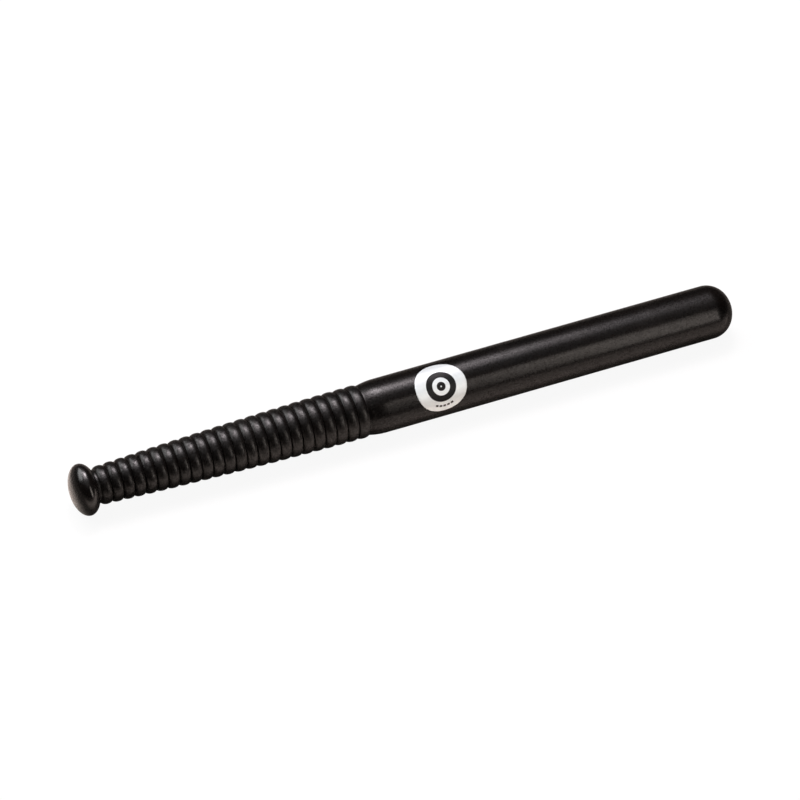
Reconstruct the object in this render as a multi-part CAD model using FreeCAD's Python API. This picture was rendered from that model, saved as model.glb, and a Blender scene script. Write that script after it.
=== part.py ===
import FreeCAD, Part
import math
import os

# A ribbed scraper stick: a lens-shaped end knob, a tapering stem turned with rounded ribs, a smooth
# barrel with a domed end, and a thin round badge wrapped on the barrel. All lengths are in millimetres.
# The stick lies along +X from the knob to the dome, on a table at Z = 0, with its middle at X = 0.

# Barrel
BARREL_DIA = 25.4
BARREL_LENGTH = 185.9  # from the stem's end face to the tip of the dome
SHOULDER_LENGTH = 9.0  # the rounded run from the last groove up to the full diameter
DOME_LENGTH = 11.5
DOME_CORNER_RADIUS = 11.1

# Ribbed stem
RIB_COUNT = 24
RIB_PITCH = 5.335  # the mean, from groove to groove
RIB_GROWTH = 0.058  # the last rib's length less the first's, as a share of the mean
RIB_FIRST_DIA = 17.8  # the line of the crests, at its thin end
LAST_RIB_STEP = 0.2  # how far the crests end below the barrel's surface
TAPER_POWER = 1.7  # 1 is a straight taper, and more levels off towards the barrel
GROOVE_DEPTH = 1.15  # below the line of the crests, at the thin end
LAST_GROOVE_DEPTH = 0.95  # the same at the barrel
RIB_LEAN = 0.08  # how far a rib's sides lean in: 0 is upright, and a third makes a plain arch
GROOVE_FLOOR = 0.26  # width of the flat left by the parting tool
NECK_LENGTH = 0.8  # plain run between the knob and the first rib

# End knob
KNOB_DIA = 24.1
KNOB_LENGTH = 13.2  # of the whole lens, which the neck cuts short

# Joints inside the stick
KNOB_SPIGOT_DIA = 7.0
KNOB_SPIGOT_LENGTH = 14.0
TENON_DIA = 13.0
TENON_LENGTH = 24.0
SPIGOT_CHAMFER = 0.6
GLUE_GAP = 0.1  # radial, between a spigot and its socket
SOCKET_END_GAP = 1.0  # past the end of a spigot, for spare glue

# Badge
BADGE_DIA = 24.6  # measured along the curved surface
BADGE_THICKNESS = 0.12
BADGE_DISTANCE = 35.8  # from the stem's end face to the middle of the badge
BADGE_TILT = 49.2  # degrees that the badge faces above the horizontal, on the -Y side

OFFSET_TOLERANCE = 1e-4  # how closely the badge's outer face follows its inner one

Vec = FreeCAD.Vector
ORIGIN = Vec(0, 0, 0)
AXIS_X = Vec(1, 0, 0)
FULL_TURN = 360
CUBIC_RISE = 0.75  # a cubic curve's crest lies this share of the way up from its ends to its inner poles

axis_height = max(BARREL_DIA, KNOB_DIA) / 2
barrel_radius = BARREL_DIA / 2
last_crest_radius = barrel_radius - LAST_RIB_STEP
neck_radius = RIB_FIRST_DIA / 2 - GROOVE_DEPTH
seam_radius = last_crest_radius - LAST_GROOVE_DEPTH

# Angle on the knob's ellipse, from its rim, at which the neck's radius is reached
knob_seat_angle = math.acos(neck_radius / (KNOB_DIA / 2))
knob_seat_x = KNOB_LENGTH / 2 * (1 + math.sin(knob_seat_angle))
first_rib_x = knob_seat_x + NECK_LENGTH
seam_x = first_rib_x + RIB_COUNT * RIB_PITCH
tip_x = seam_x + BARREL_LENGTH


def at(x, radius):
    """A point of an outline: x along the stick and the radius from its axis."""
    return Vec(x, 0, radius)


def line(start, end):
    return Part.LineSegment(start, end).toShape()


def arc(start, middle, end):
    return Part.Arc(start, middle, end).toShape()


def on_circle(centre, radius, angle):
    """A point on a circle in the outline's plane, with the angle in radians from +X towards +radius."""
    return centre + Vec(math.cos(angle), 0, math.sin(angle)) * radius


def turned(edges):
    """Turn a closed outline about the stick's axis and set the stick down on the table."""
    outline = Part.Face(Part.Wire(edges))
    return placed(outline.revolve(ORIGIN, AXIS_X, FULL_TURN))


def placed(shape):
    shape.translate(Vec(-tip_x / 2, 0, axis_height))
    return shape


def spigot(seat_x, seat_radius, dia, length):
    """Edges from the rim of a seat face down to the spigot, along it and back to the axis."""
    radius = dia / 2
    end_x = seat_x + length
    points = [
        at(seat_x, seat_radius),
        at(seat_x, radius),
        at(end_x - SPIGOT_CHAMFER, radius),
        at(end_x, radius - SPIGOT_CHAMFER),
        at(end_x, 0),
    ]
    return [line(a, b) for a, b in zip(points, points[1:])]


def socket(seat_x, seat_radius, dia, length):
    """Edges from the axis out along a socket's floor, back along its wall and out over its seat face."""
    radius = dia / 2 + GLUE_GAP
    floor_x = seat_x + length + SOCKET_END_GAP
    points = [at(floor_x, 0), at(floor_x, radius), at(seat_x, radius), at(seat_x, seat_radius)]
    return [line(a, b) for a, b in zip(points, points[1:])]


def groove_x(index):
    """Middle of the groove before a rib: the ribs grow evenly longer towards the barrel."""
    share = index / RIB_COUNT
    lag = RIB_GROWTH * share * (1 - share) / 2
    return first_rib_x + RIB_COUNT * RIB_PITCH * (share - lag)


def stem_share(x):
    """0 at the first rib's start and 1 at the last rib's end."""
    return (x - first_rib_x) / (RIB_COUNT * RIB_PITCH)


def crest_radius(x):
    """Radius of the line that the ribs' crests follow."""
    share = stem_share(x)
    rise = last_crest_radius - RIB_FIRST_DIA / 2
    return RIB_FIRST_DIA / 2 + rise * (1 - (1 - share) ** TAPER_POWER)


def groove_radius(x):
    depth = GROOVE_DEPTH + (LAST_GROOVE_DEPTH - GROOVE_DEPTH) * stem_share(x)
    return crest_radius(x) - depth


def rib_edges(index):
    """One rib, with full sides and a flatter crest, between half a groove floor on either side."""
    start_x = groove_x(index)
    end_x = groove_x(index + 1)
    middle_x = (start_x + end_x) / 2
    half_floor = GROOVE_FLOOR / 2
    foot = at(start_x + half_floor, groove_radius(start_x))
    far_foot = at(end_x - half_floor, groove_radius(end_x))
    lean = (far_foot.x - foot.x) * RIB_LEAN
    pole_height = (crest_radius(middle_x) - (foot.z + far_foot.z) / 2) / CUBIC_RISE
    pole = foot + Vec(lean, 0, pole_height)
    far_pole = far_foot + Vec(-lean, 0, pole_height)
    over_crest = Part.BezierCurve()
    over_crest.setPoles([foot, pole, far_pole, far_foot])
    return [
        line(at(start_x, groove_radius(start_x)), foot),
        over_crest.toShape(),
        line(far_foot, at(end_x, groove_radius(end_x))),
    ]


def end_knob():
    """A lens, an ellipse turned about its short axis, whose back is cut flat where the stem butts on it."""
    centre = at(KNOB_LENGTH / 2, 0)
    ellipse = Part.Ellipse(at(KNOB_LENGTH / 2, KNOB_DIA / 2), at(KNOB_LENGTH, 0), centre)
    lens = Part.ArcOfEllipse(ellipse, -math.pi / 2, knob_seat_angle).toShape()
    joint = spigot(knob_seat_x, neck_radius, KNOB_SPIGOT_DIA, KNOB_SPIGOT_LENGTH)
    axis = line(at(knob_seat_x + KNOB_SPIGOT_LENGTH, 0), at(0, 0))
    return turned([lens] + joint + [axis])


def ribbed_stem():
    edges = socket(knob_seat_x, neck_radius, KNOB_SPIGOT_DIA, KNOB_SPIGOT_LENGTH)
    edges.append(line(at(knob_seat_x, neck_radius), at(first_rib_x, neck_radius)))
    for index in range(RIB_COUNT):
        edges += rib_edges(index)
    edges += spigot(seam_x, seam_radius, TENON_DIA, TENON_LENGTH)
    socket_floor_x = knob_seat_x + KNOB_SPIGOT_LENGTH + SOCKET_END_GAP
    edges.append(line(at(seam_x + TENON_LENGTH, 0), at(socket_floor_x, 0)))
    return turned(edges)


def shoulder_arc():
    """An arc from the seam's radius that runs out level with the barrel."""
    drop = barrel_radius - seam_radius
    radius = (SHOULDER_LENGTH**2 + drop**2) / (2 * drop)
    centre = at(seam_x + SHOULDER_LENGTH, barrel_radius - radius)
    sweep = math.asin(SHOULDER_LENGTH / radius)
    middle = on_circle(centre, radius, math.pi / 2 + sweep / 2)
    return arc(at(seam_x, seam_radius), middle, at(seam_x + SHOULDER_LENGTH, barrel_radius))


def dome_arcs():
    """A corner arc level with the barrel, then a flatter arc that meets it smoothly and crosses the axis."""
    corner_rise = barrel_radius - DOME_CORNER_RADIUS
    over = DOME_LENGTH**2 + corner_rise**2 - DOME_CORNER_RADIUS**2
    tip_radius = over / (2 * (DOME_LENGTH - DOME_CORNER_RADIUS))
    corner = at(tip_x - DOME_LENGTH, corner_rise)
    tip_centre = at(tip_x - tip_radius, 0)
    meet_angle = math.atan2(corner_rise, corner.x - tip_centre.x)
    meet = on_circle(tip_centre, tip_radius, meet_angle)
    corner_middle = on_circle(corner, DOME_CORNER_RADIUS, (math.pi / 2 + meet_angle) / 2)
    tip_middle = on_circle(tip_centre, tip_radius, meet_angle / 2)
    return [
        arc(at(corner.x, barrel_radius), corner_middle, meet),
        arc(meet, tip_middle, at(tip_x, 0)),
    ]


def barrel():
    edges = socket(seam_x, seam_radius, TENON_DIA, TENON_LENGTH)
    edges.append(shoulder_arc())
    cylinder_start = at(seam_x + SHOULDER_LENGTH, barrel_radius)
    cylinder_end = at(tip_x - DOME_LENGTH, barrel_radius)
    edges.append(line(cylinder_start, cylinder_end))
    edges += dome_arcs()
    edges.append(line(at(tip_x, 0), at(seam_x + TENON_LENGTH + SOCKET_END_GAP, 0)))
    return turned(edges)


def badge():
    """A round label laid on the barrel: its outline is a circle measured along the curved surface."""
    surface = Part.Cylinder()
    surface.Axis = AXIS_X
    surface.Radius = barrel_radius
    # On the surface a point is (angle about the axis, distance along it), so the circle is an ellipse there
    Point = FreeCAD.Base.Vector2d
    far_from_seam = math.pi
    half_angle = BADGE_DIA / 2 / barrel_radius
    middle = Point(far_from_seam, seam_x + BADGE_DISTANCE)
    along = Point(far_from_seam, middle.y + BADGE_DIA / 2)
    around = Point(far_from_seam - half_angle, middle.y)
    outline = Part.Geom2d.Ellipse2d(along, around, middle).toShape(surface)
    skin = Part.Face(surface, Part.Wire(outline))
    label = skin.makeOffsetShape(BADGE_THICKNESS, OFFSET_TOLERANCE, fill=True)
    # Turn the label about the stick from where it was built to where it faces
    tilt = math.radians(BADGE_TILT)
    built = surface.value(far_from_seam, 0)
    facing = Vec(0, -math.cos(tilt), math.sin(tilt))
    turn = math.atan2(built.cross(facing).dot(AXIS_X), built.dot(facing))
    label.rotate(ORIGIN, AXIS_X, math.degrees(turn))
    return placed(label)


PIECES = {"end_knob": end_knob, "ribbed_stem": ribbed_stem, "barrel": barrel, "badge": badge}

os.makedirs("parts", exist_ok=True)
for name, build in PIECES.items():
    solid = build()
    solid.exportStep(f"parts/{name}.step")
    print(name, "valid" if solid.isValid() else "not valid", round(solid.Volume), "mm3")
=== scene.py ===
import math
import random
from typing import NamedTuple

import bpy
from bpy.props import (
    FloatProperty,
    FloatVectorProperty,
    IntProperty,
    PointerProperty,
)
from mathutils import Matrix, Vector, noise


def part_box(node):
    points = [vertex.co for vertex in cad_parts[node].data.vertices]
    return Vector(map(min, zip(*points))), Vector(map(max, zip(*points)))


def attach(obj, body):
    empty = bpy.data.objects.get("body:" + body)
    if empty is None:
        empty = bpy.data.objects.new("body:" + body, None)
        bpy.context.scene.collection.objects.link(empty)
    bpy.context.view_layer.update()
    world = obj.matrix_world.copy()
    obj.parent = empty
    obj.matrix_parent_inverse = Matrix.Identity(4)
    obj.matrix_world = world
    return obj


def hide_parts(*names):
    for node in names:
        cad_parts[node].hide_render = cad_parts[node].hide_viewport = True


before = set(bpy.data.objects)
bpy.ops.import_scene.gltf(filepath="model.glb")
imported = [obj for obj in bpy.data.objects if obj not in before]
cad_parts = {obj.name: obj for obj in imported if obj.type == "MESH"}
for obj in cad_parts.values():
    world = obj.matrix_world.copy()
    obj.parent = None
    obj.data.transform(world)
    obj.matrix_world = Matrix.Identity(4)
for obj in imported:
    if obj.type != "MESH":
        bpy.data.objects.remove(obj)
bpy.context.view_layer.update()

bl_info = {
    "name": "Ribbed Scraper Stick",
    "version": (1, 0, 0),
    "blender": (4, 5, 0),
    "location": "3D View > Sidebar > Scraper Stick",
    "description": "Turns a black lacquered scraper stick with a knob, ribs, a barrel and a round badge",
    "category": "Add Mesh",
}

# The stick lies along +X from its knob to its domed end, on a floor at Z = 0. All lengths are in metres.

MM = 0.001
BODY = "root"

KNOB_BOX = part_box("end_knob")
STEM_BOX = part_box("ribbed_stem")
BARREL_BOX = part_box("barrel")
BADGE_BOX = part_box("badge")

KNOB_TIP_X = KNOB_BOX[0].x
KNOB_SEAT_X = STEM_BOX[0].x
KNOB_SPIGOT_END_X = KNOB_BOX[1].x
SEAM_X = BARREL_BOX[0].x
TENON_END_X = STEM_BOX[1].x
DOME_TIP_X = BARREL_BOX[1].x
BADGE_X = (BADGE_BOX[0].x + BADGE_BOX[1].x) / 2
AXIS_Z = (BARREL_BOX[0].z + BARREL_BOX[1].z) / 2
BARREL_RADIUS = (BARREL_BOX[1].z - BARREL_BOX[0].z) / 2
KNOB_RADIUS = (KNOB_BOX[1].z - KNOB_BOX[0].z) / 2

# How finely each stretch is cut into points

RIB_STEPS = 14
KNOB_STEPS = 90
SHOULDER_STEPS = 24
WALL_STEPS = 190
DOME_CORNER_STEPS = 22
DOME_TIP_STEPS = 18
BADGE_TURN_STEPS = 192
BADGE_RADIUS_STEPS = 24
RING_STEPS = 144
DOT_STEPS = 72
DASH_STEPS = 4
RING_BANDS = 4
DOT_BANDS = 3
DASH_BANDS = 2
SHARP_ANGLE = math.radians(55)

# What turning by hand leaves

SEED = 7
GROOVE_SHIFT = 0.05 * MM  # the most that a groove lies off its even place
GROOVE_DEPTH_CHANGE_MM = (-0.06, 0.05)
CREST_LOSS_MM = (0.0, 0.05)
CUT_LINE_DEPTH = 0.15 * MM  # the parting tool's own line, below a groove's floor
CUT_LINE_WANDER = 0.5  # share of the unevenness in that line
END_WANDER = 0.6  # the knob and the domed end are turned closer than the rest
WAVE_LENGTH = 9 * MM  # of slow waves in the turned surface
WAVES_AROUND = 1.3  # how fast they change round the stick
CHIP_LENGTH = 0.9 * MM  # of small chips along the rims of the grooves
CHIP_WIDTH = 0.8 * MM
CHIP_SHARE = 1.2  # depth of a chip, as a share of the unevenness
CUBIC_RISE = 0.75  # a cubic curve's crest lies this share of the way up from its ends to its inner poles
GROOVE_LAYER = "groove"

# The badge's print. Distances are shares of the badge's radius, and turns are in radians.

FILM_SHARE = 0.8  # of the badge's thickness, the rest is ink
FILM_EDGE = 0.05 * MM
INK_SINK = 0.01 * MM
RING = (0.34, 0.58)
DOT = (0.03, 0.17)
DASH = (0.72, 0.80)
DASH_SPACING = 0.20
DASH_HALF_TURN = 0.07
DASH_ROW_TURN = -math.pi / 2  # the middle of the row, straight below the badge's middle


def length(name, description, default_mm):
    """A length whose default is written in millimetres."""
    return FloatProperty(
        name=name, description=description, default=default_mm * MM, unit="LENGTH", precision=5
    )


def colour(name, description, default):
    """A colour in linear red, green and blue."""
    return FloatVectorProperty(
        name=name, description=description, default=default, subtype="COLOR", size=3, min=0.0, max=1.0
    )


def factor(name, description, default):
    """A share from 0 to 1."""
    return FloatProperty(
        name=name, description=description, default=default, min=0.0, max=1.0, subtype="FACTOR"
    )


def rotation(name, description, default_degrees):
    """An angle whose default is written in degrees."""
    default = math.radians(default_degrees)
    return FloatProperty(name=name, description=description, default=default, unit="ROTATION")


class StickSizes(bpy.types.PropertyGroup):
    """Sizes of the turned pieces and of the badge."""

    rib_count: IntProperty(name="Ribs", description="Number of ribs on the stem", default=24, min=1)
    neck_length: length("Neck length", "Plain run between the knob and the first rib", 0.8)
    rib_growth: factor("Rib growth", "The last rib's length less the first's, as a share of the mean", 0.058)
    first_rib_diameter: length("First rib diameter", "Line of the crests at the thin end", 17.8)
    last_rib_step: length("Last rib step", "How far the crests end below the barrel's surface", 0.2)
    taper_power: FloatProperty(name="Taper power", description="1 is a straight taper", default=1.7, min=1.0)
    groove_depth: length("Groove depth", "Below the line of the crests, at the thin end", 1.15)
    last_groove_depth: length("Last groove depth", "The same at the barrel", 0.95)
    rib_lean: factor("Rib lean", "How far a rib's sides lean in: a third makes it a plain arch", 0.08)
    groove_floor: length("Groove floor", "Width of a groove's floor", 0.26)
    shoulder_length: length("Shoulder length", "Run from the last groove up to the full barrel", 9.0)
    dome_length: length("Dome length", "Length of the barrel's rounded end", 11.5)
    dome_corner_radius: length("Dome corner", "Radius where the barrel turns into its end", 11.1)
    knob_length: length("Knob length", "Length of the knob's whole lens", 13.2)
    knob_spigot_diameter: length("Knob spigot", "Diameter of the spigot inside the stem", 7.0)
    tenon_diameter: length("Tenon", "Diameter of the stem's tenon inside the barrel", 13.0)
    spigot_chamfer: length("Spigot chamfer", "Chamfer at the end of both spigots", 0.6)
    glue_gap: length("Glue gap", "Radial gap between a spigot and its socket", 0.1)
    socket_end_gap: length("Socket end gap", "Room past the end of a spigot", 1.0)
    badge_diameter: length("Badge diameter", "Measured along the curved surface", 24.6)
    badge_thickness: length("Badge thickness", "Height of the badge's film with its print", 0.12)
    badge_dashes: IntProperty(
        name="Badge dashes", description="Dashes printed below the ring", default=5, min=0
    )
    badge_tilt: rotation("Badge tilt", "How far up the badge faces, from -Y", 49.2)
    around: IntProperty(name="Points around", description="Mesh points round the stick", default=240, min=24)
    unevenness: length("Unevenness", "Most that hand turning takes off the outline", 0.05)


class StickFinish(bpy.types.PropertyGroup):
    """Colours and gloss of the finishes."""

    lacquer: colour("Lacquer", "Colour of the black lacquer", (0.0016, 0.0013, 0.0012))
    wood: colour("Wood", "Colour where the lacquer is thin", (0.010, 0.0055, 0.0035))
    dust: colour("Dust", "Colour of the fine dust and rub marks", (0.030, 0.028, 0.026))
    label: colour("Label", "Colour of the badge's film", (0.79, 0.86, 0.86))
    label_cloud: colour("Label cloud", "Colour of the film's faint clouds", (0.69, 0.77, 0.79))
    # Painted light and shade: the film is one colour, painted paler at its lower edge and darker at its upper
    # edge for how the lamps fall on it.
    label_lower_painted_light: colour("Label, lower edge", "Colour of the film at its lower edge", (0.90, 0.97, 0.98))
    label_upper_painted_shade: colour("Label, upper edge", "Colour of the film at its upper edge", (0.50, 0.54, 0.55))
    ink: colour("Ink", "Colour of the badge's print", (0.008, 0.008, 0.008))
    knob_roughness: factor("Knob roughness", "Roughness of the knob's lacquer", 0.27)
    rib_roughness: factor("Rib roughness", "Roughness of the stem's lacquer", 0.36)
    barrel_roughness: factor("Barrel roughness", "Roughness of the barrel's lacquer", 0.29)
    label_roughness: factor("Label roughness", "Roughness of the badge's film", 0.35)
    ink_roughness: factor("Ink roughness", "Roughness of the badge's print", 0.35)


class StudioSettings(bpy.types.PropertyGroup):
    """Camera and floor."""

    heading: rotation("Heading", "Camera's turn about the stick, from -Y", -22.457)
    elevation: rotation("Elevation", "Camera's height angle", 43.567)
    distance: length("Distance", "From the camera to the stick's middle", 1894.3)
    lens: FloatProperty(name="Lens", description="Focal length in millimetres", default=186.3)
    aim: FloatVectorProperty(
        name="Aim",
        description="Aimed point, from the middle of the stick",
        default=(-0.00369, 0.00012, -0.00026),
        subtype="TRANSLATION",
        unit="LENGTH",
        precision=5,
    )
    floor_colour: colour("Floor", "Colour of the plain floor", (0.80, 0.80, 0.80))
    floor_size: length("Floor size", "Side of the floor", 8000.0)


# Outlines


class Station(NamedTuple):
    """A point of an outline, with what the turning did there."""

    x: float
    radius: float
    wander: float = 0.0  # share of the hand-turned unevenness
    groove: float = 0.0  # 1 on a groove's floor, 0 on a crest


def swept(centre_x, centre_radius, radius, start, end, steps):
    """Points on an arc in the outline's plane, after its start point."""
    for step in range(1, steps + 1):
        angle = start + (end - start) * step / steps
        yield centre_x + radius * math.cos(angle), centre_radius + radius * math.sin(angle)


def spigot(seat_x, seat_radius, diameter, end_x, chamfer):
    """Stations from the rim of a seat face in to the spigot, along it and back to the axis."""
    radius = diameter / 2
    return [
        Station(seat_x, seat_radius),
        Station(seat_x, radius),
        Station(end_x - chamfer, radius),
        Station(end_x, radius - chamfer),
        Station(end_x, 0.0),
    ]


def socket(seat_x, seat_radius, diameter, end_x, sizes):
    """Stations from the axis out along a socket's floor, back along its wall and out over its seat face."""
    radius = diameter / 2 + sizes.glue_gap
    floor_x = end_x + sizes.socket_end_gap
    return [
        Station(floor_x, 0.0),
        Station(floor_x, radius),
        Station(seat_x, radius),
        Station(seat_x, seat_radius),
    ]


def neck_radius(sizes):
    """Radius of the plain run between the knob and the first rib."""
    return sizes.first_rib_diameter / 2 - sizes.groove_depth


def seam_radius(sizes):
    """Radius where the stem meets the barrel, on the last groove's floor."""
    return BARREL_RADIUS - sizes.last_rib_step - sizes.last_groove_depth


def stem_share(x, sizes):
    """0 at the first rib's start and 1 at the last rib's end."""
    first_rib_x = KNOB_SEAT_X + sizes.neck_length
    return min(max((x - first_rib_x) / (SEAM_X - first_rib_x), 0.0), 1.0)


def crest_radius(x, sizes):
    """Radius of the line that the ribs' crests follow."""
    share = stem_share(x, sizes)
    first = sizes.first_rib_diameter / 2
    rise = BARREL_RADIUS - sizes.last_rib_step - first
    return first + rise * (1 - (1 - share) ** sizes.taper_power)


def groove_x(index, sizes):
    """Middle of the groove before a rib: the ribs grow evenly longer towards the barrel."""
    first_rib_x = KNOB_SEAT_X + sizes.neck_length
    share = index / sizes.rib_count
    lag = sizes.rib_growth * share * (1 - share) / 2
    return first_rib_x + (SEAM_X - first_rib_x) * (share - lag)


def rib_stations(start_x, end_x, depths, flattening, sizes):
    """One rib, with full sides and a flatter crest, between two groove floors."""
    half_floor = sizes.groove_floor / 2
    foot = Vector((start_x + half_floor, crest_radius(start_x, sizes) - depths[0]))
    far_foot = Vector((end_x - half_floor, crest_radius(end_x, sizes) - depths[1]))
    crest = crest_radius((start_x + end_x) / 2, sizes) - flattening
    lean = (far_foot.x - foot.x) * sizes.rib_lean
    pole_height = (crest - (foot.y + far_foot.y) / 2) / CUBIC_RISE
    poles = (foot, foot + Vector((lean, pole_height)), far_foot + Vector((-lean, pole_height)), far_foot)
    found = []
    for step in range(RIB_STEPS + 1):
        share = step / RIB_STEPS
        rest = 1 - share
        weights = (rest**3, 3 * share * rest**2, 3 * share**2 * rest, share**3)
        x = sum(weight * pole.x for weight, pole in zip(weights, poles))
        radius = sum(weight * pole.y for weight, pole in zip(weights, poles))
        found.append(Station(x, radius, 1.0, (rest - share) ** 2))
    return found


def knob_outline(sizes):
    """A lens, an ellipse turned about its short axis, with a spigot on its back."""
    half_length = sizes.knob_length / 2
    neck = neck_radius(sizes)
    tip_angle = -math.pi / 2
    seat_angle = math.acos(neck / KNOB_RADIUS)
    found = [Station(KNOB_TIP_X, 0.0)]
    for step in range(1, KNOB_STEPS):
        angle = tip_angle + (seat_angle - tip_angle) * step / KNOB_STEPS
        x = KNOB_TIP_X + half_length * (1 + math.sin(angle))
        found.append(Station(x, KNOB_RADIUS * math.cos(angle), END_WANDER * math.cos(angle)))
    return found + spigot(
        KNOB_SEAT_X, neck, sizes.knob_spigot_diameter, KNOB_SPIGOT_END_X, sizes.spigot_chamfer
    )


def stem_outline(sizes):
    """The ribs one after another, with small differences from rib to rib as a turner leaves them."""
    chance = random.Random(SEED)
    first_rib_x = KNOB_SEAT_X + sizes.neck_length
    last = sizes.rib_count
    edges = [groove_x(index, sizes) + chance.uniform(-1, 1) * GROOVE_SHIFT for index in range(last + 1)]
    deepening = sizes.last_groove_depth - sizes.groove_depth
    depths = [
        sizes.groove_depth + deepening * stem_share(x, sizes) + chance.uniform(*GROOVE_DEPTH_CHANGE_MM) * MM
        for x in edges
    ]
    edges[0], edges[last] = first_rib_x, SEAM_X
    depths[0], depths[last] = sizes.groove_depth, sizes.last_groove_depth
    neck = neck_radius(sizes)
    found = socket(KNOB_SEAT_X, neck, sizes.knob_spigot_diameter, KNOB_SPIGOT_END_X, sizes)
    found.append(Station(first_rib_x, neck, 0.0, 1.0))
    for index in range(last):
        flattening = chance.uniform(*CREST_LOSS_MM) * MM
        found += rib_stations(edges[index], edges[index + 1], depths[index : index + 2], flattening, sizes)
        if index < last - 1:
            cut_x = edges[index + 1]
            cut_radius = crest_radius(cut_x, sizes) - depths[index + 1] - CUT_LINE_DEPTH
            found.append(Station(cut_x, cut_radius, CUT_LINE_WANDER, 1.0))
    found += spigot(SEAM_X, seam_radius(sizes), sizes.tenon_diameter, TENON_END_X, sizes.spigot_chamfer)
    return found


def shoulder_stations(sizes):
    """The rounded rise from the seam to the full barrel."""
    drop = BARREL_RADIUS - seam_radius(sizes)
    radius = (sizes.shoulder_length**2 + drop**2) / (2 * drop)
    sweep = math.asin(sizes.shoulder_length / radius)
    top = math.pi / 2
    end_x = SEAM_X + sizes.shoulder_length
    arc = swept(end_x, BARREL_RADIUS - radius, radius, top + sweep, top, SHOULDER_STEPS)
    return [Station(x, r, 1.0, 1 - step / SHOULDER_STEPS) for step, (x, r) in enumerate(arc)]


def dome_stations(wall_end, sizes):
    """The barrel's end: a round corner that runs into a flatter cap centred on the axis."""
    corner_radius = sizes.dome_corner_radius
    corner_rise = BARREL_RADIUS - corner_radius
    over = sizes.dome_length**2 + corner_rise**2 - corner_radius**2
    cap_radius = over / (2 * (sizes.dome_length - corner_radius))
    cap_centre_x = DOME_TIP_X - cap_radius
    meet = math.atan2(corner_rise, wall_end - cap_centre_x)
    corner = swept(wall_end, corner_rise, corner_radius, math.pi / 2, meet, DOME_CORNER_STEPS)
    cap = list(swept(cap_centre_x, 0.0, cap_radius, meet, 0.0, DOME_TIP_STEPS))
    found = [Station(x, r, 1.0) for x, r in corner]
    found += [Station(x, r, END_WANDER) for x, r in cap[:-1]]
    found.append(Station(DOME_TIP_X, 0.0))
    return found


def barrel_outline(sizes):
    """A socket for the tenon, a rounded shoulder, the long plain wall and the domed end."""
    wall_start = SEAM_X + sizes.shoulder_length
    wall_end = DOME_TIP_X - sizes.dome_length
    found = socket(SEAM_X, seam_radius(sizes), sizes.tenon_diameter, TENON_END_X, sizes)
    found += shoulder_stations(sizes)
    for step in range(1, WALL_STEPS + 1):
        found.append(Station(wall_start + (wall_end - wall_start) * step / WALL_STEPS, BARREL_RADIUS, 1.0))
    return found + dome_stations(wall_end, sizes)


# Meshes


def place(x, radius, angle):
    """A point by its angle about the stick, which is 0 at -Y and turns up towards +Z."""
    return Vector((x, -radius * math.cos(angle), AXIS_Z + radius * math.sin(angle)))


def taken_off(station, angle, sizes):
    """How much lower than its outline the turned surface lies, from slow waves and small chips in grooves."""
    around = Vector((0.0, math.cos(angle), math.sin(angle)))
    slow = 0.5 + 0.5 * noise.noise(Vector((station.x / WAVE_LENGTH, 0.0, 0.0)) + around * WAVES_AROUND)
    chips = noise.noise(Vector((station.x / CHIP_LENGTH, 0.0, 0.0)) + around * (station.radius / CHIP_WIDTH))
    edge = 4 * station.groove * (1 - station.groove)
    return station.wander * sizes.unevenness * (slow + CHIP_SHARE * edge * max(chips, 0.0))


def shown_mesh(name, points, faces, material):
    """A smooth-shaded piece that keeps its sharp corners."""
    mesh = bpy.data.meshes.new(name)
    mesh.from_pydata(points, [], faces)
    mesh.materials.append(material)
    mesh.shade_smooth()
    mesh.set_sharp_from_angle(angle=SHARP_ANGLE)
    piece = bpy.data.objects.new(name, mesh)
    bpy.context.scene.collection.objects.link(piece)
    return piece


def turned(name, outline, material, sizes):
    """A closed mesh turned about the stick's axis from an outline that starts and ends on it."""
    around = sizes.around
    rings = outline[1:-1]
    points = [place(outline[0].x, 0.0, 0.0)]
    for station in rings:
        for step in range(around):
            angle = math.tau * step / around
            lowered = taken_off(station, angle, sizes) if station.wander else 0.0
            points.append(place(station.x, station.radius - lowered, angle))
    points.append(place(outline[-1].x, 0.0, 0.0))
    end = len(points) - 1
    last_ring = 1 + (len(rings) - 1) * around
    faces = []
    for step in range(around):
        after = (step + 1) % around
        faces.append((0, 1 + step, 1 + after))
        for ring in range(len(rings) - 1):
            low, high = 1 + ring * around, 1 + (ring + 1) * around
            faces.append((low + step, high + step, high + after, low + after))
        faces.append((last_ring + step, end, last_ring + after))
    piece = shown_mesh(name, points, faces, material)
    layer = piece.data.attributes.new(GROOVE_LAYER, "FLOAT", "POINT")
    values = [0.0] + [station.groove for station in rings for step in range(around)] + [0.0]
    layer.data.foreach_set("value", values)
    return piece


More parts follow.
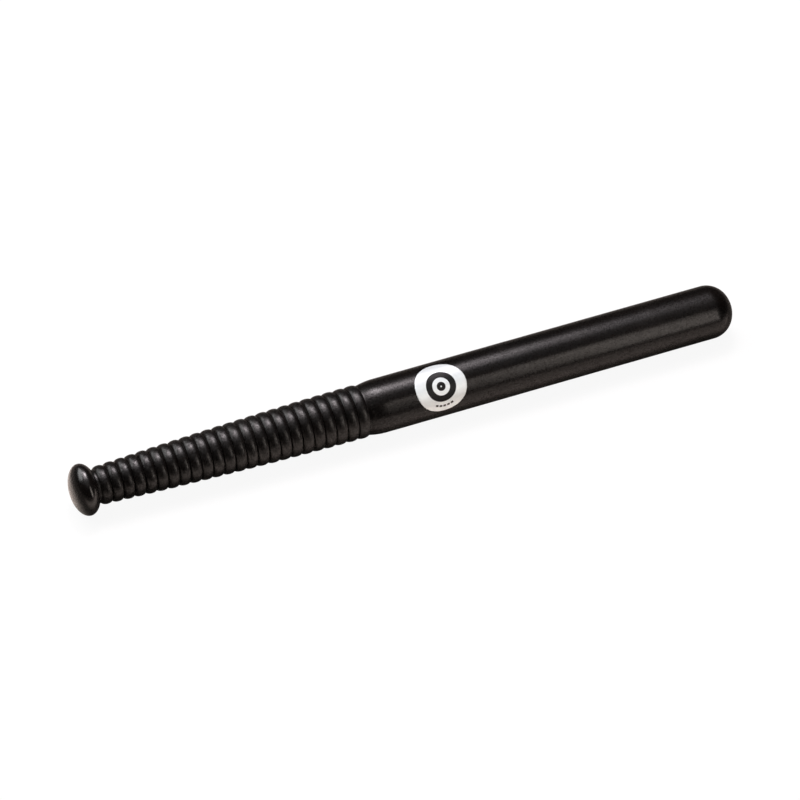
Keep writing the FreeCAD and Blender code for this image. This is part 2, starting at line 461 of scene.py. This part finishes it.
class Film:
    """Thin closed slabs laid on the barrel, from polar coordinates about the badge's middle."""

    def __init__(self, tilt):
        self.tilt = tilt
        self.points = []
        self.faces = []

    def point(self, distance, turn, height):
        """A point at a distance and turn from the badge's middle, measured along the barrel's surface."""
        along = distance * math.cos(turn)
        round_barrel = distance * math.sin(turn)
        return place(BADGE_X + along, BARREL_RADIUS + height, self.tilt + round_barrel / BARREL_RADIUS)

    def ring(self, outline, steps):
        """Sweeps a closed outline of (distance, height) points all the way round."""
        columns = self.columns(outline, [math.tau * step / steps for step in range(steps)])
        for here, there in zip(columns, columns[1:] + columns[:1]):
            self.join(here, there, len(outline))

    def arc(self, outline, steps, start, end):
        """Sweeps a closed outline of (distance, height) points through part of a turn, with end faces."""
        columns = self.columns(outline, [start + (end - start) * step / steps for step in range(steps + 1)])
        for here, there in zip(columns, columns[1:]):
            self.join(here, there, len(outline))
        self.faces.append(tuple(columns[0] + index for index in reversed(range(len(outline)))))
        self.faces.append(tuple(columns[-1] + index for index in range(len(outline))))

    def columns(self, outline, turns):
        """Adds the outline's points at each turn, and gives the number of each column's first point."""
        firsts = []
        for turn in turns:
            firsts.append(len(self.points))
            self.points += [self.point(distance, turn, height) for distance, height in outline]
        return firsts

    def join(self, here, there, count):
        """Adds the faces between two columns of a closed outline."""
        for index in range(count):
            after = (index + 1) % count
            self.faces.append((here + index, here + after, there + after, there + index))

    def disc(self, outline, steps):
        """Sweeps an outline of (distance, height) points that starts and ends at the middle."""
        top, *rim, bottom = outline
        top_index = len(self.points)
        bottom_index = top_index + 1
        self.points += [self.point(distance, 0.0, height) for distance, height in (top, bottom)]
        columns = self.columns(rim, [math.tau * step / steps for step in range(steps)])
        last = len(rim) - 1
        for here, there in zip(columns, columns[1:] + columns[:1]):
            self.faces.append((top_index, here, there))
            for index in range(last):
                self.faces.append((here + index, here + index + 1, there + index + 1, there + index))
            self.faces.append((here + last, bottom_index, there + last))


def slab(inner, outer, low, high, steps):
    """A closed outline of a flat slab between two distances, with points along its top and bottom."""
    span = outer - inner
    top = [(inner + span * step / steps, high) for step in range(steps + 1)]
    bottom = [(inner + span * step / steps, low) for step in reversed(range(steps + 1))]
    return top + bottom


# Shader nodes


class Wires:
    """Adds nodes to one tree. Each input is a plain value or another node's socket."""

    def __init__(self, tree):
        self.tree = tree
        tree.nodes.clear()

    def feed(self, made, inputs):
        """Sets or links a node's inputs."""
        for name, value in inputs.items():
            if isinstance(value, bpy.types.NodeSocket):
                self.tree.links.new(value, made.inputs[name])
            else:
                made.inputs[name].default_value = value
        return made

    def node(self, kind, inputs, **settings):
        made = self.tree.nodes.new(kind)
        for name, value in settings.items():
            setattr(made, name, value)
        return self.feed(made, inputs)

    def group(self, tree, inputs):
        made = self.tree.nodes.new("ShaderNodeGroup")
        made.node_tree = tree
        return self.feed(made, inputs).outputs

    def coordinates(self, kind="Object"):
        return self.node("ShaderNodeTexCoord", {}).outputs[kind]

    def upward(self):
        """The Z of Generated coordinates: 0 to 1 up a mesh's box, -1 to 1 up the world."""
        return self.node("ShaderNodeSeparateXYZ", {"Vector": self.coordinates("Generated")}).outputs["Z"]

    def math(self, operation, first, second=0.0):
        return self.node("ShaderNodeMath", {0: first, 1: second}, operation=operation).outputs[0]

    def product(self, first, *others):
        for other in others:
            first = self.math("MULTIPLY", first, other)
        return first

    def spread(self, value, low, high, to_low=0.0, to_high=1.0):
        """Maps low..high to another range, held at its ends."""
        inputs = {"Value": value, "From Min": low, "From Max": high, "To Min": to_low, "To Max": to_high}
        return self.node("ShaderNodeMapRange", inputs).outputs["Result"]

    def noise(self, vector, scale=1.0, detail=2.0, roughness=0.5):
        inputs = {"Vector": vector, "Scale": scale, "Detail": detail, "Roughness": roughness}
        return self.node("ShaderNodeTexNoise", inputs).outputs["Fac"]

    def scaled(self, vector, scale):
        inputs = {0: vector, "Scale": scale}
        return self.node("ShaderNodeVectorMath", inputs, operation="SCALE").outputs[0]

    def stretched(self, vector, scales):
        inputs = {0: vector, 1: scales}
        return self.node("ShaderNodeVectorMath", inputs, operation="MULTIPLY").outputs[0]

    def mixed(self, share, first, second):
        inputs = {0: share, 6: first, 7: second}
        return self.node("ShaderNodeMix", inputs, data_type="RGBA").outputs[2]

    def raised(self, height, strength, distance, below=None):
        """A normal bent by a height, on top of another normal where one is given."""
        inputs = {"Height": height, "Strength": strength, "Distance": distance}
        if below is not None:
            inputs["Normal"] = below
        return self.node("ShaderNodeBump", inputs).outputs["Normal"]

    def painted_light_pool(self, where, patch):
        """The painted light's brightness inside the pool, fading to 0 at its outer edge."""
        offset = self.node("ShaderNodeVectorMath", {0: where, 1: patch.centre}, operation="SUBTRACT")
        scaled = self.stretched(offset.outputs[0], patch.scales)
        away = self.node("ShaderNodeVectorMath", {0: scaled}, operation="LENGTH").outputs["Value"]
        return self.spread(away, patch.inner, patch.outer, patch.brightness, 0.0)


def new_group(name, inputs, outputs):
    """An empty node group with float outputs, and its wires, input sockets and output node."""
    tree = bpy.data.node_groups.new(name, "ShaderNodeTree")
    for label, kind, value in inputs:
        made = tree.interface.new_socket(label, in_out="INPUT", socket_type=kind)
        if value is not None:
            made.default_value = value
    for label in outputs:
        tree.interface.new_socket(label, in_out="OUTPUT", socket_type="NodeSocketFloat")
    wires = Wires(tree)
    entry = tree.nodes.new("NodeGroupInput").outputs
    way_out = tree.nodes.new("NodeGroupOutput")
    return tree, wires, entry, way_out


# Noise scales are in cells a metre. The three of a stretched noise are along the stick and across it.


def wood_grain():
    """Fibres and open pores of the wood, which run along the stick."""
    tree, wires, entry, way_out = new_group(
        "wood_grain",
        [("Vector", "NodeSocketVector", None), ("Fineness", "NodeSocketFloat", 1.0)],
        ["Height", "Pores", "Tone"],
    )
    where = wires.scaled(entry["Vector"], entry["Fineness"])
    fibres = wires.noise(wires.stretched(where, (90.0, 2100.0, 2100.0)), detail=3.0, roughness=0.6)
    pores = wires.noise(wires.stretched(where, (330.0, 2600.0, 2600.0)), detail=1.0)
    tone = wires.noise(wires.stretched(where, (28.0, 150.0, 150.0)))
    open_pores = wires.spread(pores, 0.62, 0.72)
    bands = wires.spread(tone, 0.35, 0.65)
    wires.feed(way_out, {"Height": fibres, "Pores": open_pores, "Tone": bands})
    return tree


def lacquer_skin():
    """Orange peel and the fine mottling of a brushed satin lacquer."""
    tree, wires, entry, way_out = new_group(
        "lacquer_skin",
        [("Vector", "NodeSocketVector", None), ("Fineness", "NodeSocketFloat", 1.0)],
        ["Height", "Mottle"],
    )
    where = wires.scaled(entry["Vector"], entry["Fineness"])
    peel = wires.noise(where, scale=750.0)
    mottle = wires.noise(where, scale=1000.0, detail=3.0, roughness=0.7)
    wires.feed(way_out, {"Height": peel, "Mottle": wires.spread(mottle, 0.3, 0.7)})
    return tree


def rub_marks():
    """Where handling has dulled the lacquer: the rims of the grooves, and scattered scuffs."""
    tree, wires, entry, way_out = new_group(
        "rub_marks",
        [
            ("Vector", "NodeSocketVector", None),
            ("Groove", "NodeSocketFloat", 0.0),
            ("Edge Amount", "NodeSocketFloat", 0.5),
            ("Scuff Amount", "NodeSocketFloat", 0.2),
        ],
        ["Edge", "Scuffs"],
    )
    where, groove = entry["Vector"], entry["Groove"]
    past_side = wires.spread(groove, 0.45, 0.8)
    before_floor = wires.spread(groove, 1.0, 0.85)
    broken = wires.spread(wires.noise(where, scale=900.0, detail=3.0, roughness=0.7), 0.52, 0.66)
    patches = wires.spread(wires.noise(where, scale=70.0), 0.5, 0.75)
    specks = wires.spread(wires.noise(where, scale=1500.0, roughness=0.7), 0.5, 0.7)
    edge = wires.product(past_side, before_floor, broken, entry["Edge Amount"])
    wires.feed(way_out, {"Edge": edge, "Scuffs": wires.product(patches, specks, entry["Scuff Amount"])})
    return tree


GROUP_MAKERS = {"wood_grain": wood_grain, "lacquer_skin": lacquer_skin, "rub_marks": rub_marks}


def shared_group(name):
    """A node group that several materials use, made when it is first needed."""
    return bpy.data.node_groups.get(name) or GROUP_MAKERS[name]()


# Materials


class Coat(NamedTuple):
    """How one piece's lacquer came out, and how handling has left it. The gloss IOR is set higher on the knob
    and the stem than on the barrel as a painted highlight, on what is one lacquer.
    """

    gloss_ior: float
    speckle: float  # 0 is an even gloss, 1 a broken one
    edge_wear: float
    scuffs: float
    grain_depth: float
    peel_depth: float


# Painted highlight: the knob's and the stem's higher gloss IOR brightens their reflections above the
# barrel's, standing in for lamps that fall stronger on that end.
KNOB_COAT = Coat(
    gloss_ior=1.46, speckle=0.25, edge_wear=0.0, scuffs=0.3, grain_depth=0.002 * MM, peel_depth=0.005 * MM
)
STEM_COAT = Coat(
    gloss_ior=1.38, speckle=1.0, edge_wear=0.8, scuffs=0.5, grain_depth=0.009 * MM, peel_depth=0.016 * MM
)
BARREL_COAT = Coat(
    gloss_ior=1.29, speckle=0.85, edge_wear=0.4, scuffs=0.4, grain_depth=0.005 * MM, peel_depth=0.008 * MM
)

LACQUER_IOR = 1.2
PORE_COLOUR_SHARE = 0.35  # how much of the wood's colour shows in a pore
TONE_COLOUR_SHARE = 0.12  # and in the grain's broad bands
ROUGHNESS_CHANGE = 0.05
SCUFF_ROUGHNESS = 0.15
COAT_SMOOTHING = 0.03  # how much smoother the top coat is than the lacquer under it
PORE_GLOSS = 0.3
# painted shade: the share of the top coat's gloss left on a groove's floor and at the shoulder's foot
GROOVE_PAINTED_SHADE_GLOSS = 0.4
SPECKLE_DEPTH = 0.9

BADGE_SKIN_STRENGTH = 0.5
BADGE_SKIN_DEPTH = 0.004 * MM
LABEL_SKIN_FINENESS = 0.6
LABEL_IOR = 1.5
LABEL_METALLIC = 0.15
LABEL_ROUGHNESS_CHANGE = 0.04
CLOUD_SHARE = 0.5
PAINTED_LIGHT_FADE = (0.45, 0.72)  # where the painted light at the lower edge starts to go and has gone, up the label's box
PAINTED_SHADE_FADE = (0.86, 0.96)  # where the painted shade at the upper edge starts to come and has come
INK_SKIN_FINENESS = 1.4
INK_IOR = 1.2
THIN_INK_SHARE = 0.012  # how much of the label shows where the ink is thinnest


def opaque(rgb):
    return (*rgb, 1.0)


def new_material(name):
    material = bpy.data.materials.new(name)
    material.use_nodes = True
    return material, Wires(material.node_tree)


def finish_material(wires, surface):
    wires.node("ShaderNodeOutputMaterial", {"Surface": surface})


def lacquer_colour(wires, grain, rubs, finish):
    """Black, with the wood showing in its pores and bands and dust on what has been rubbed."""
    toned = wires.product(grain["Tone"], TONE_COLOUR_SHARE)
    thin = wires.product(grain["Pores"], PORE_COLOUR_SHARE)
    black = wires.mixed(toned, opaque(finish.lacquer), opaque(finish.wood))
    porous = wires.mixed(thin, black, opaque(finish.wood))
    scuffed = wires.mixed(rubs["Scuffs"], porous, opaque(finish.dust))
    return wires.mixed(rubs["Edge"], scuffed, opaque(finish.dust))


def lacquer_gloss(wires, groove, grain, skin, speckle):
    """How much of the top coat's gloss shows: less in pores, broken by the mottling, and taken down towards
    the grooves as painted shade.
    """
    # Painted shade: less gloss towards the grooves and the shoulder's foot darkens them as shade would.
    groove_painted_shade = wires.spread(groove, 0.35, 1.0, 1.0, GROOVE_PAINTED_SHADE_GLOSS)
    outside_pores = wires.spread(grain["Pores"], 0.0, 1.0, 1.0, PORE_GLOSS)
    speckled = wires.spread(skin["Mottle"], 0.1, 0.9, 1 - SPECKLE_DEPTH * speckle, 1.0)
    return wires.product(groove_painted_shade, speckled, outside_pores)


def lacquer_material(name, roughness, coat):
    """Satin black lacquer over turned wood: a thin sealed film with dust and rub marks from handling, and the
    gloss of a top coat that pores and mottling break up and that is taken down towards the grooves as painted
    shade."""
    finish = bpy.context.scene.stick_finish
    material, wires = new_material(name)
    where = wires.coordinates()
    groove = wires.node("ShaderNodeAttribute", {}, attribute_name=GROOVE_LAYER).outputs["Fac"]
    grain = wires.group(shared_group("wood_grain"), {"Vector": where})
    skin = wires.group(shared_group("lacquer_skin"), {"Vector": where})
    rubs = wires.group(
        shared_group("rub_marks"),
        {"Vector": where, "Groove": groove, "Edge Amount": coat.edge_wear, "Scuff Amount": coat.scuffs},
    )
    rough = wires.spread(skin["Mottle"], 0.0, 1.0, roughness - ROUGHNESS_CHANGE, roughness + ROUGHNESS_CHANGE)
    worn_rough = wires.math("ADD", rough, wires.product(rubs["Scuffs"], SCUFF_ROUGHNESS))
    fibres = wires.raised(grain["Height"], 1.0, coat.grain_depth)
    shader = wires.node(
        "ShaderNodeBsdfPrincipled",
        {
            "Base Color": lacquer_colour(wires, grain, rubs, finish),
            "Roughness": worn_rough,
            "IOR": LACQUER_IOR,
            "Coat Weight": lacquer_gloss(wires, groove, grain, skin, coat.speckle),
            "Coat Roughness": roughness - COAT_SMOOTHING,
            "Coat IOR": coat.gloss_ior,
            "Normal": wires.raised(skin["Height"], 1.0, coat.peel_depth, fibres),
        },
    )
    finish_material(wires, shader.outputs["BSDF"])
    return material


def label_material():
    """Silver-white satin film with faint clouds, painted paler below as painted light and deeper at its upper
    edge as painted shade.
    """
    finish = bpy.context.scene.stick_finish
    material, wires = new_material("label_film")
    where = wires.coordinates()
    skin = wires.group(shared_group("lacquer_skin"), {"Vector": where, "Fineness": LABEL_SKIN_FINENESS})
    clouds = wires.product(wires.spread(wires.noise(where, scale=160.0), 0.35, 0.65), CLOUD_SHARE)
    clouded = wires.mixed(clouds, opaque(finish.label), opaque(finish.label_cloud))
    # Painted light and shade: paler towards the lower edge, darker towards the upper edge.
    height = wires.upward()
    lower = wires.mixed(wires.spread(height, *PAINTED_LIGHT_FADE), opaque(finish.label_lower_painted_light), clouded)
    graded = wires.mixed(wires.spread(height, *PAINTED_SHADE_FADE), lower, opaque(finish.label_upper_painted_shade))
    least = finish.label_roughness - LABEL_ROUGHNESS_CHANGE
    most = finish.label_roughness + LABEL_ROUGHNESS_CHANGE
    shader = wires.node(
        "ShaderNodeBsdfPrincipled",
        {
            "Base Color": graded,
            "Roughness": wires.spread(skin["Mottle"], 0.0, 1.0, least, most),
            "Metallic": LABEL_METALLIC,
            "IOR": LABEL_IOR,
            "Normal": wires.raised(skin["Height"], BADGE_SKIN_STRENGTH, BADGE_SKIN_DEPTH),
        },
    )
    finish_material(wires, shader.outputs["BSDF"])
    return material


def ink_material():
    """Black printing ink with a slight sheen and thin spots."""
    finish = bpy.context.scene.stick_finish
    material, wires = new_material("printing_ink")
    where = wires.coordinates()
    skin = wires.group(shared_group("lacquer_skin"), {"Vector": where, "Fineness": INK_SKIN_FINENESS})
    thin = wires.product(skin["Mottle"], THIN_INK_SHARE)
    least = finish.ink_roughness - ROUGHNESS_CHANGE
    most = finish.ink_roughness + ROUGHNESS_CHANGE
    shader = wires.node(
        "ShaderNodeBsdfPrincipled",
        {
            "Base Color": wires.mixed(thin, opaque(finish.ink), opaque(finish.label)),
            "Roughness": wires.spread(skin["Mottle"], 0.0, 1.0, least, most),
            "IOR": INK_IOR,
            "Normal": wires.raised(skin["Height"], BADGE_SKIN_STRENGTH, BADGE_SKIN_DEPTH),
        },
    )
    finish_material(wires, shader.outputs["BSDF"])
    return material


# The studio's floor, sky and lamps


class PaintedLightPool(NamedTuple):
    """A pool of painted light on the floor, which fades out between two distances from its centre."""

    centre: tuple
    scales: tuple  # what a distance counts for along each axis
    inner: float
    outer: float
    brightness: float


class Lamp(NamedTuple):
    """A soft rectangular lamp, by its direction and distance from the origin."""

    name: str
    direction: tuple
    distance: float
    size: tuple
    watts: float
    tint: tuple


WHITE = (1.0, 1.0, 1.0)
ROSY = (1.0, 0.91, 0.94)
WARM = (1.0, 0.89, 0.82)

LAMPS = (
    Lamp("overhead_softbox", (-0.005, 0.313, 0.950), 1.3, (1.0, 0.84), 12.8, ROSY),
    Lamp("overhead_key", (0.100, 0.352, 0.931), 1.25, (0.40, 0.30), 8.8, ROSY),
    Lamp("side_softbox", (-0.510, 0.534, 0.674), 1.3, (1.29, 0.71), 13.1, WHITE),
    Lamp("front_strip", (0.420, -0.815, 0.399), 1.3, (0.23, 1.00), 4.5, WARM),
)

# Painted light: warm pools painted on the floor in front of the stick and by the knob, seen in gloss.
PAINTED_LIGHT_IN_FRONT = PaintedLightPool(
    centre=(0.030, -0.052, 0.0), scales=(0.16, 1.0, 1.0), inner=0.034, outer=0.044, brightness=1.0
)
PAINTED_LIGHT_BY_KNOB = PaintedLightPool(
    centre=(-0.165, 0.020, 0.0), scales=(1.0, 1.0, 1.0), inner=0.018, outer=0.032, brightness=0.75
)

PAINTED_LIGHT_COLOUR = (0.80, 0.72, 0.64)
PAINTED_SHADE_SHARE = 0.14  # the floor's painted shade outside its pools of painted light, as a share of their colour
MOTTLE_SHARE = 0.99
FLOOR_ROUGHNESS = 0.9
FLOOR_TO_EYE = 0.92
SKY_TO_EYE = 0.9
MIRRORED = 0.02
CEILING_EDGE = (0.75, 0.9)  # how high in the sky the soft ceiling starts, and is whole
CEILING_STRENGTH = 0.35
SENSOR_WIDTH = 36.0  # in millimetres, as the lens is


def seen_share(wires, to_eye):
    """How much of a plain white a ray sees: a share straight to the eye, another by way of gloss or glass."""
    path = wires.node("ShaderNodeLightPath", {}).outputs
    indirect = wires.math("ADD", path["Is Glossy Ray"], path["Is Transmission Ray"])
    return wires.math("ADD", wires.product(path["Is Camera Ray"], to_eye), wires.product(indirect, MIRRORED))


def floor_material(colour_value):
    """A plain pale floor that looks nearly white to the eye and keeps a faint shadow. Gloss sees painted
    light on it: warm pools in front of the stick and by the knob, and painted shade, nearly dark, everywhere
    else."""
    material, wires = new_material("studio_floor")
    where = wires.coordinates()
    mottle = wires.spread(wires.noise(where, scale=3.0), 0.3, 0.7)
    pale = wires.mixed(mottle, opaque(colour_value), opaque([MOTTLE_SHARE * value for value in colour_value]))
    # Painted light and shade: pools of warm colour in front of the stick and by the knob, dark elsewhere, for
    # every ray but the eye's.
    floor_painted_light = wires.math("MAXIMUM", wires.painted_light_pool(where, PAINTED_LIGHT_IN_FRONT), wires.painted_light_pool(where, PAINTED_LIGHT_BY_KNOB))
    floor_painted_shade = wires.math("SUBTRACT", 1.0, floor_painted_light)
    mirrored = wires.mixed(floor_painted_shade, opaque(PAINTED_LIGHT_COLOUR), opaque([PAINTED_SHADE_SHARE * value for value in PAINTED_LIGHT_COLOUR]))
    to_eye = wires.node("ShaderNodeLightPath", {}).outputs["Is Camera Ray"]
    shader = wires.node(
        "ShaderNodeBsdfPrincipled",
        {
            "Base Color": wires.mixed(to_eye, mirrored, pale),
            "Roughness": FLOOR_ROUGHNESS,
            "Specular IOR Level": 0.0,
        },
    )
    white = wires.node("ShaderNodeEmission", {"Color": opaque(WHITE), "Strength": 1.0})
    whitened = wires.node(
        "ShaderNodeMixShader",
        {0: seen_share(wires, FLOOR_TO_EYE), 1: shader.outputs["BSDF"], 2: white.outputs["Emission"]},
    )
    finish_material(wires, whitened.outputs["Shader"])
    return material


def studio_world():
    """White to the eye, with a soft ceiling overhead."""
    world = bpy.data.worlds.new("studio_world")
    world.use_nodes = True
    wires = Wires(world.node_tree)
    ceiling = wires.spread(wires.upward(), *CEILING_EDGE, 0.0, CEILING_STRENGTH)
    strength = wires.math("ADD", ceiling, seen_share(wires, SKY_TO_EYE))
    background = wires.node("ShaderNodeBackground", {"Color": opaque(WHITE), "Strength": strength})
    wires.node("ShaderNodeOutputWorld", {"Surface": background.outputs["Background"]})
    return world


def hang(lamp):
    """Puts up a lamp that faces the origin."""
    light = bpy.data.lights.new(lamp.name, "AREA")
    light.shape = "RECTANGLE"
    light.size, light.size_y = lamp.size
    light.energy = lamp.watts
    light.color = lamp.tint
    holder = bpy.data.objects.new(lamp.name, light)
    toward = Vector(lamp.direction).normalized()
    holder.location = toward * lamp.distance
    holder.rotation_euler = toward.to_track_quat("Z", "Y").to_euler()
    bpy.context.scene.collection.objects.link(holder)


def lay_floor(studio):
    """A square floor at Z = 0."""
    half = studio.floor_size / 2
    corners = [(-half, -half, 0.0), (half, -half, 0.0), (half, half, 0.0), (-half, half, 0.0)]
    mesh = bpy.data.meshes.new("floor")
    mesh.from_pydata(corners, [], [(0, 1, 2, 3)])
    mesh.materials.append(floor_material(studio.floor_colour))
    floor = bpy.data.objects.new("floor", mesh)
    bpy.context.scene.collection.objects.link(floor)


def stand_camera(studio):
    """The scene's camera, on its heading and elevation about the aimed point."""
    camera = bpy.data.cameras.new("studio_camera")
    camera.lens = studio.lens
    camera.sensor_width = SENSOR_WIDTH
    holder = bpy.data.objects.new("studio_camera", camera)
    level = math.cos(studio.elevation)
    back = Vector(
        (math.sin(studio.heading) * level, -math.cos(studio.heading) * level, math.sin(studio.elevation))
    )
    aimed = Vector((0.0, 0.0, AXIS_Z)) + Vector(studio.aim)
    holder.location = aimed + back * studio.distance
    holder.rotation_euler = back.to_track_quat("Z", "Y").to_euler()
    bpy.context.scene.collection.objects.link(holder)
    bpy.context.scene.camera = holder


# Operators


def stands_for(piece, node):
    """Rides the piece on the stick's body in place of its CAD node."""
    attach(piece, BODY)
    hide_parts(node)


class STICK_OT_end_knob(bpy.types.Operator):
    """Turn the lens-shaped knob at the thin end"""

    bl_idname = "stick.end_knob"
    bl_label = "End Knob"

    def execute(self, context):
        sizes, finish = context.scene.stick_sizes, context.scene.stick_finish
        material = lacquer_material("knob_lacquer", finish.knob_roughness, KNOB_COAT)
        piece = turned("turned_knob", knob_outline(sizes), material, sizes)
        stands_for(piece, "end_knob")
        return {"FINISHED"}


class STICK_OT_ribbed_stem(bpy.types.Operator):
    """Turn the tapering stem with its rounded ribs"""

    bl_idname = "stick.ribbed_stem"
    bl_label = "Ribbed Stem"

    def execute(self, context):
        sizes, finish = context.scene.stick_sizes, context.scene.stick_finish
        material = lacquer_material("rib_lacquer", finish.rib_roughness, STEM_COAT)
        piece = turned("turned_stem", stem_outline(sizes), material, sizes)
        stands_for(piece, "ribbed_stem")
        return {"FINISHED"}


class STICK_OT_barrel(bpy.types.Operator):
    """Turn the smooth barrel with its shoulder and domed end"""

    bl_idname = "stick.barrel"
    bl_label = "Barrel"

    def execute(self, context):
        sizes, finish = context.scene.stick_sizes, context.scene.stick_finish
        material = lacquer_material("barrel_lacquer", finish.barrel_roughness, BARREL_COAT)
        piece = turned("turned_barrel", barrel_outline(sizes), material, sizes)
        stands_for(piece, "barrel")
        return {"FINISHED"}


def label_film(sizes):
    """The badge's round film, with a softened rim."""
    radius = sizes.badge_diameter / 2
    height = sizes.badge_thickness * FILM_SHARE
    distances = [radius * step / BADGE_RADIUS_STEPS for step in range(BADGE_RADIUS_STEPS)]
    top = [(distance, height) for distance in distances]
    rim = [(radius - FILM_EDGE, height), (radius, height - FILM_EDGE), (radius, 0.0)]
    under = [(distance, 0.0) for distance in reversed(distances)]
    film = Film(sizes.badge_tilt)
    film.disc(top + rim + under, BADGE_TURN_STEPS)
    return film


def badge_ink(sizes):
    """The print on the film: a ring round a dot, and a row of dashes below them."""
    radius = sizes.badge_diameter / 2
    low = sizes.badge_thickness * FILM_SHARE - INK_SINK
    high = sizes.badge_thickness
    ink = Film(sizes.badge_tilt)
    ink.ring(slab(RING[0] * radius, RING[1] * radius, low, high, RING_BANDS), RING_STEPS)
    ink.ring(slab(DOT[0] * radius, DOT[1] * radius, low, high, DOT_BANDS), DOT_STEPS)
    dash = slab(DASH[0] * radius, DASH[1] * radius, low, high, DASH_BANDS)
    for index in range(sizes.badge_dashes):
        middle = DASH_ROW_TURN + (index - (sizes.badge_dashes - 1) / 2) * DASH_SPACING
        ink.arc(dash, DASH_STEPS, middle - DASH_HALF_TURN, middle + DASH_HALF_TURN)
    return ink


class STICK_OT_badge(bpy.types.Operator):
    """Lay the round badge on the barrel and print its plain ring pattern"""

    bl_idname = "stick.badge"
    bl_label = "Badge"

    def execute(self, context):
        sizes = context.scene.stick_sizes
        film = label_film(sizes)
        label = shown_mesh("badge_film", film.points, film.faces, label_material())
        stands_for(label, "badge")
        ink = badge_ink(sizes)
        print_piece = shown_mesh("badge_print", ink.points, ink.faces, ink_material())
        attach(print_piece, BODY)
        return {"FINISHED"}


class STICK_OT_studio(bpy.types.Operator):
    """Set up the pale floor, the soft lamps and the camera"""

    bl_idname = "stick.studio"
    bl_label = "Studio"

    def execute(self, context):
        scene, studio = context.scene, context.scene.stick_studio
        scene.view_settings.view_transform = "Standard"
        scene.world = studio_world()
        lay_floor(studio)
        for lamp in LAMPS:
            hang(lamp)
        stand_camera(studio)
        return {"FINISHED"}


class STICK_PT_panel(bpy.types.Panel):
    """Sizes, finishes and the buttons that build each piece"""

    bl_idname = "STICK_PT_panel"
    bl_label = "Scraper Stick"
    bl_space_type = "VIEW_3D"
    bl_region_type = "UI"
    bl_category = "Scraper Stick"

    def draw(self, context):
        for settings in (context.scene.stick_sizes, context.scene.stick_finish, context.scene.stick_studio):
            box = self.layout.box()
            for name in settings.bl_rna.properties.keys():
                if name not in ("rna_type", "name"):
                    box.prop(settings, name)
        for operator in OPERATORS:
            self.layout.operator(operator.bl_idname)


SETTINGS = {"stick_sizes": StickSizes, "stick_finish": StickFinish, "stick_studio": StudioSettings}
OPERATORS = (STICK_OT_end_knob, STICK_OT_ribbed_stem, STICK_OT_barrel, STICK_OT_badge, STICK_OT_studio)
CLASSES = (*SETTINGS.values(), *OPERATORS, STICK_PT_panel)


def register():
    for cls in CLASSES:
        bpy.utils.register_class(cls)
    for name, cls in SETTINGS.items():
        setattr(bpy.types.Scene, name, PointerProperty(type=cls))


def unregister():
    for name in SETTINGS:
        delattr(bpy.types.Scene, name)
    for cls in reversed(CLASSES):
        bpy.utils.unregister_class(cls)


def main():
    register()
    bpy.ops.stick.end_knob()
    bpy.ops.stick.ribbed_stem()
    bpy.ops.stick.barrel()
    bpy.ops.stick.badge()
    bpy.ops.stick.studio()


if __name__ == "__main__":
    main()
